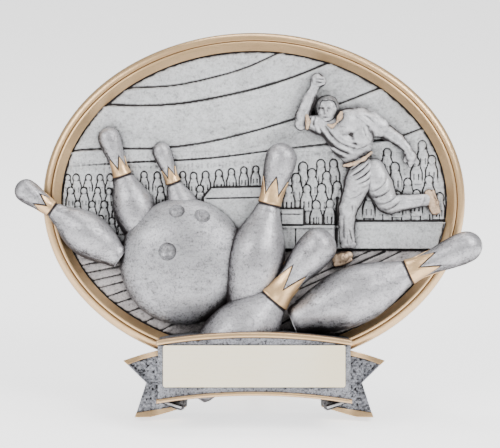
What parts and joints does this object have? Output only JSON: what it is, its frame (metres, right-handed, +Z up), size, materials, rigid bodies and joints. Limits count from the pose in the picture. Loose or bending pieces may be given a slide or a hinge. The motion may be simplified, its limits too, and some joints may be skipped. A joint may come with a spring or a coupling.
{
  "type": "bowling trophy",
  "caption": "Oval relief award plaque with bowler, rolling ball and flying pins, on a ribbon base with a blank plate and a screw-in prop peg.",
  "frame": {"origin": "bottom centre of the bounding box, on the surface that the trophy stands on", "axes": "+Z up, +X to the right as seen from the front, -Y towards the viewer; the plaque leans back by 12 degrees"},
  "size_m": [0.2161, 0.1078, 0.1756],
  "materials": {
    "brushed_plate": "pale gold, fine brushed",
    "gold_paint": "antique gold paint over cast resin",
    "hanger_steel": "zinc plated",
    "insert_brass": "turned",
    "pale_gold_paint": "thin gold paint over pewter",
    "peg_metal": "satin plated",
    "pewter": "antique pewter paint over cast resin, rubbed back",
    "resin_back": "dark pewter paint on resin",
    "rose_gold_paint": "thin rose gold paint",
    "tape": "foam tape",
    "tip_rubber": "black rubber",
    "washer_fibre": "red vulcanised fibre"
  },
  "bodies": {
    "plaque": {"backing_plate": "resin_back", "ball_return": "pewter", "banner_bottom_edge": "gold_paint", "banner_fold_left": "pewter", "banner_fold_right": "pewter", "banner_panel": "pewter", "banner_tail_left": "pewter", "banner_tail_right": "pewter", "banner_top_edge": "gold_paint", "bowler_belt": "rose_gold_paint", "bowler_collar": "gold_paint", "bowler_front_leg": "pewter", "bowler_front_shoe": "pale_gold_paint", "bowler_hair": "pewter", "bowler_head": "pewter", "bowler_raised_arm": "pewter", "bowler_rear_leg": "pewter", "bowler_rear_shoe": "pale_gold_paint", "bowler_shirt": "pewter", "bowler_trailing_arm": "pewter", "bowling_ball": "pewter", "ceiling_band_lower": "pewter", "ceiling_band_upper": "pewter", "ceiling_panel": "pewter", "crowd_centre": "pewter", "crowd_left": "pewter", "crowd_right": "pewter", "engraving_plate": "brushed_plate", "hanger_plate": "hanger_steel", "hanger_screws": "hanger_steel", "lane_floor": "pewter", "ledge_wall": "pewter", "peg_insert": "insert_brass", "pin_1": "pewter", "pin_1_crown": "gold_paint", "pin_2": "pewter", "pin_2_crown": "gold_paint", "pin_3": "pewter", "pin_3_crown": "gold_paint", "pin_4": "pewter", "pin_4_crown": "gold_paint", "pin_5": "pewter", "pin_5_crown": "gold_paint", "pin_6": "pewter", "pin_6_crown": "gold_paint", "plate_adhesive": "tape", "rim_inner_bead": "gold_paint", "rim_outer_band": "gold_paint", "scoring_console": "pewter", "stand_backdrop": "pewter", "tail_trim_left": "gold_paint", "tail_trim_right": "gold_paint"},
    "peg_washer": {"peg_washer": "washer_fibre"},
    "stand_peg": {"stand_peg": "peg_metal", "peg_tip": "tip_rubber"}
  },
  "joints": [
    {"name": "peg_travel", "type": "slide", "parent": "plaque", "child": "peg_washer", "axis": [0, 0.9781, -0.2079], "range_m": [0, 0.008]},
    {"name": "peg_turn", "type": "hinge", "parent": "peg_washer", "child": "stand_peg", "pos_m": [0.00295, -0.0052, 0.01689], "axis": [0, 0.9781, -0.2079], "range_deg": [0, 2881]}
  ],
  "couplings": [
    {"joint": "peg_turn", "follows": "peg_travel", "rad_per_m": 6283.2}
  ]
}
